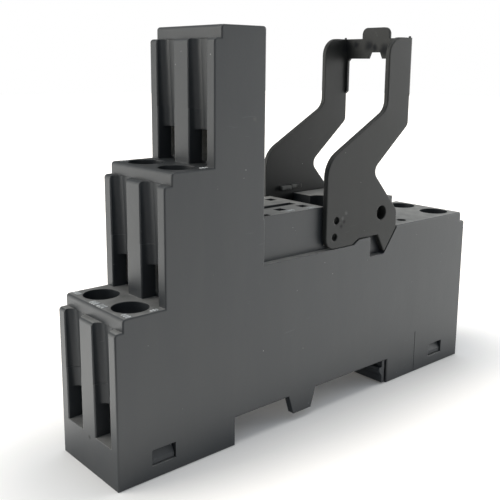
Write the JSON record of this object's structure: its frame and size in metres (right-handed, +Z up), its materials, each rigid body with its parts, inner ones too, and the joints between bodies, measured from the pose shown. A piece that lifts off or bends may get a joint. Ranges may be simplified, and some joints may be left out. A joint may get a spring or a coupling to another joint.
{
  "type": "relay socket",
  "caption": "Narrow stepped DIN-rail socket for a plug-in relay, with rising-clamp screw terminals and a swinging retaining clip.",
  "frame": {"origin": "bottom centre of the whole socket, on the plane that its foot stands on", "axes": "+Z up from the rail; +X along the length, from the tall stepped terminals to the coil end; +Y across the width"},
  "size_m": [0.0786, 0.0154, 0.0636],
  "materials": {
    "housing_plastic": "satin moulded black",
    "cover_plastic": "satin moulded black",
    "clip_plastic": "satin moulded black",
    "screw_steel": "zinc plated",
    "cage_steel": "zinc plated",
    "strip_metal": "tin plated"
  },
  "bodies": {
    "housing": {"housing": "housing_plastic", "base_cover": "cover_plastic", "contact_strip_low_near": "strip_metal", "contact_strip_low_far": "strip_metal", "contact_strip_mid_near": "strip_metal", "contact_strip_mid_far": "strip_metal", "contact_strip_top_near": "strip_metal", "contact_strip_top_far": "strip_metal", "contact_strip_coil_near": "strip_metal", "contact_strip_coil_far": "strip_metal"},
    "clip": {"retaining_clip": "clip_plastic"},
    "screw_low_near": {"terminal_screw_low_near": "screw_steel"},
    "cage_low_near": {"clamp_cage_low_near": "cage_steel"},
    "screw_low_far": {"terminal_screw_low_far": "screw_steel"},
    "cage_low_far": {"clamp_cage_low_far": "cage_steel"},
    "screw_mid_near": {"terminal_screw_mid_near": "screw_steel"},
    "cage_mid_near": {"clamp_cage_mid_near": "cage_steel"},
    "screw_mid_far": {"terminal_screw_mid_far": "screw_steel"},
    "cage_mid_far": {"clamp_cage_mid_far": "cage_steel"},
    "screw_top_near": {"terminal_screw_top_near": "screw_steel"},
    "cage_top_near": {"clamp_cage_top_near": "cage_steel"},
    "screw_top_far": {"terminal_screw_top_far": "screw_steel"},
    "cage_top_far": {"clamp_cage_top_far": "cage_steel"},
    "screw_coil_near": {"terminal_screw_coil_near": "screw_steel"},
    "cage_coil_near": {"clamp_cage_coil_near": "cage_steel"},
    "screw_coil_far": {"terminal_screw_coil_far": "screw_steel"},
    "cage_coil_far": {"clamp_cage_coil_far": "cage_steel"}
  },
  "joints": [
    {"name": "clip_swing", "type": "hinge", "parent": "housing", "child": "clip", "pos_m": [0.01385, 0, 0.0322], "axis": [0, 1, 0], "range_deg": [0, 30]},
    {"name": "cage_lift_low_near", "type": "slide", "parent": "housing", "child": "cage_low_near", "axis": [0, 0, 1], "range_m": [0, 0.003]},
    {"name": "screw_turn_low_near", "type": "hinge", "parent": "housing", "child": "screw_low_near", "pos_m": [-0.0344, -0.00387, 0.0243], "axis": [0, 0, -1], "range_deg": [0, 2160]},
    {"name": "cage_lift_low_far", "type": "slide", "parent": "housing", "child": "cage_low_far", "axis": [0, 0, 1], "range_m": [0, 0.003]},
    {"name": "screw_turn_low_far", "type": "hinge", "parent": "housing", "child": "screw_low_far", "pos_m": [-0.0344, 0.00387, 0.0243], "axis": [0, 0, -1], "range_deg": [0, 2160]},
    {"name": "cage_lift_mid_near", "type": "slide", "parent": "housing", "child": "cage_mid_near", "axis": [0, 0, 1], "range_m": [0, 0.003]},
    {"name": "screw_turn_mid_near", "type": "hinge", "parent": "housing", "child": "screw_mid_near", "pos_m": [-0.02635, -0.00387, 0.0429], "axis": [0, 0, -1], "range_deg": [0, 2160]},
    {"name": "cage_lift_mid_far", "type": "slide", "parent": "housing", "child": "cage_mid_far", "axis": [0, 0, 1], "range_m": [0, 0.003]},
    {"name": "screw_turn_mid_far", "type": "hinge", "parent": "housing", "child": "screw_mid_far", "pos_m": [-0.02635, 0.00387, 0.0429], "axis": [0, 0, -1], "range_deg": [0, 2160]},
    {"name": "cage_lift_top_near", "type": "slide", "parent": "housing", "child": "cage_top_near", "axis": [0, 0, 1], "range_m": [0, 0.003]},
    {"name": "screw_turn_top_near", "type": "hinge", "parent": "housing", "child": "screw_top_near", "pos_m": [-0.0179, -0.00387, 0.06235], "axis": [0, 0, -1], "range_deg": [0, 2160]},
    {"name": "cage_lift_top_far", "type": "slide", "parent": "housing", "child": "cage_top_far", "axis": [0, 0, 1], "range_m": [0, 0.003]},
    {"name": "screw_turn_top_far", "type": "hinge", "parent": "housing", "child": "screw_top_far", "pos_m": [-0.0179, 0.00387, 0.06235], "axis": [0, 0, -1], "range_deg": [0, 2160]},
    {"name": "cage_lift_coil_near", "type": "slide", "parent": "housing", "child": "cage_coil_near", "axis": [0, 0, 1], "range_m": [0, 0.003]},
    {"name": "screw_turn_coil_near", "type": "hinge", "parent": "housing", "child": "screw_coil_near", "pos_m": [0.0344, -0.00387, 0.0294], "axis": [0, 0, -1], "range_deg": [0, 2160]},
    {"name": "cage_lift_coil_far", "type": "slide", "parent": "housing", "child": "cage_coil_far", "axis": [0, 0, 1], "range_m": [0, 0.003]},
    {"name": "screw_turn_coil_far", "type": "hinge", "parent": "housing", "child": "screw_coil_far", "pos_m": [0.0344, 0.00387, 0.0294], "axis": [0, 0, -1], "range_deg": [0, 2160]}
  ],
  "couplings": [
    {"joint": "screw_turn_low_near", "follows": "cage_lift_low_near", "rad_per_m": 12566},
    {"joint": "screw_turn_low_far", "follows": "cage_lift_low_far", "rad_per_m": 12566},
    {"joint": "screw_turn_mid_near", "follows": "cage_lift_mid_near", "rad_per_m": 12566},
    {"joint": "screw_turn_mid_far", "follows": "cage_lift_mid_far", "rad_per_m": 12566},
    {"joint": "screw_turn_top_near", "follows": "cage_lift_top_near", "rad_per_m": 12566},
    {"joint": "screw_turn_top_far", "follows": "cage_lift_top_far", "rad_per_m": 12566},
    {"joint": "screw_turn_coil_near", "follows": "cage_lift_coil_near", "rad_per_m": 12566},
    {"joint": "screw_turn_coil_far", "follows": "cage_lift_coil_far", "rad_per_m": 12566}
  ]
}
